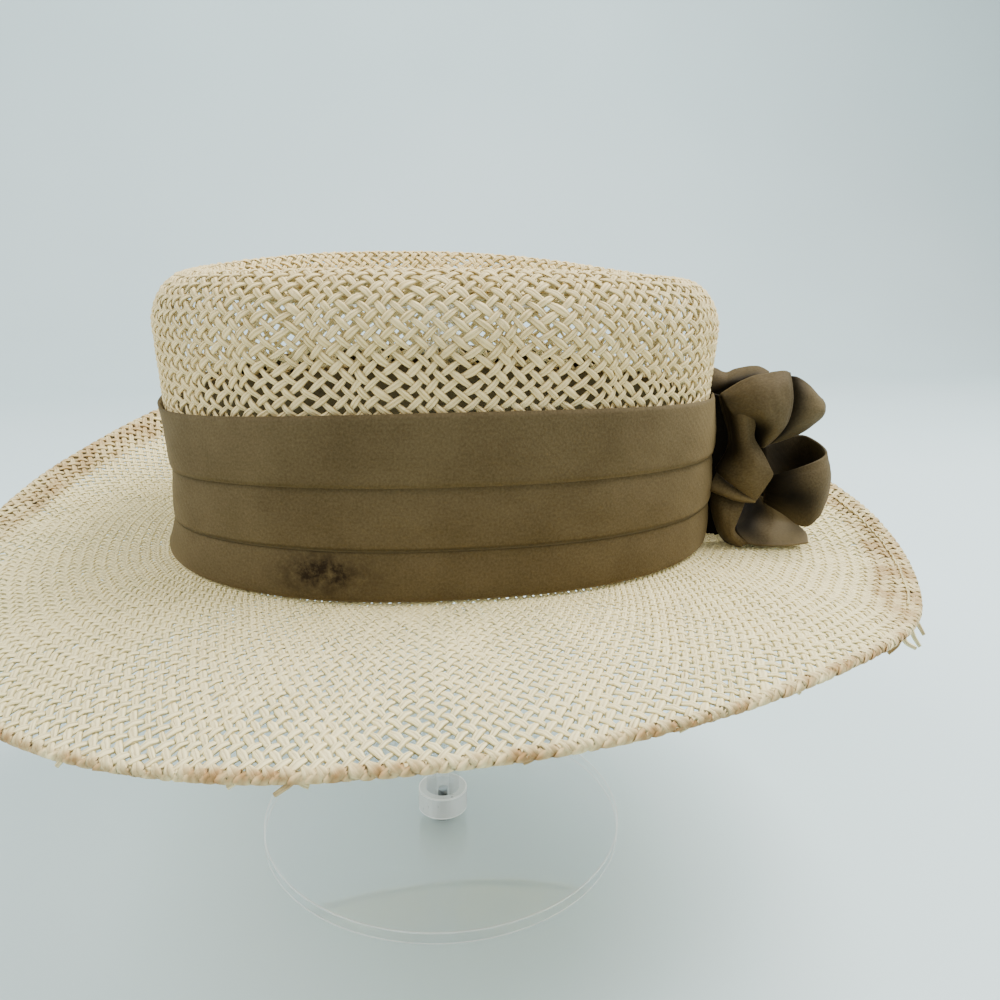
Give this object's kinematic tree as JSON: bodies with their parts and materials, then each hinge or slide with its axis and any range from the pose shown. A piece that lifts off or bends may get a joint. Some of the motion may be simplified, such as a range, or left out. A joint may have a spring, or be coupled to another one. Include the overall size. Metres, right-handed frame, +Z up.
{
  "type": "woven straw hat on a clear display stand",
  "caption": "Open-weave straw hat with a sunken crown top, wide curling brim, pleated cloth band and side rosette, on a clear disc-and-post stand.",
  "frame": {"origin": "middle of the stand base's underside, below the middle of the hat", "axes": "+X along the hat's length towards its back, where the rosette sits; +Y towards the side of the brim that curls up; +Z up"},
  "size_m": [0.3571, 0.3295, 0.2385],
  "materials": {
    "woven_straw": "matt woven straw, ivory",
    "olive_cloth": "matt fine twill, olive brown",
    "clear_acrylic": "clear polished acrylic",
    "dark_screw": "dark machined steel"
  },
  "bodies": {
    "root": {"straw_hood": "woven_straw", "pleated_band": "olive_cloth", "cloth_rosette": "olive_cloth", "stand_base": "clear_acrylic", "stand_collar": "clear_acrylic", "stand_post": "clear_acrylic", "stand_top_disc": "clear_acrylic", "stand_screw": "dark_screw"}
  },
  "joints": []
}
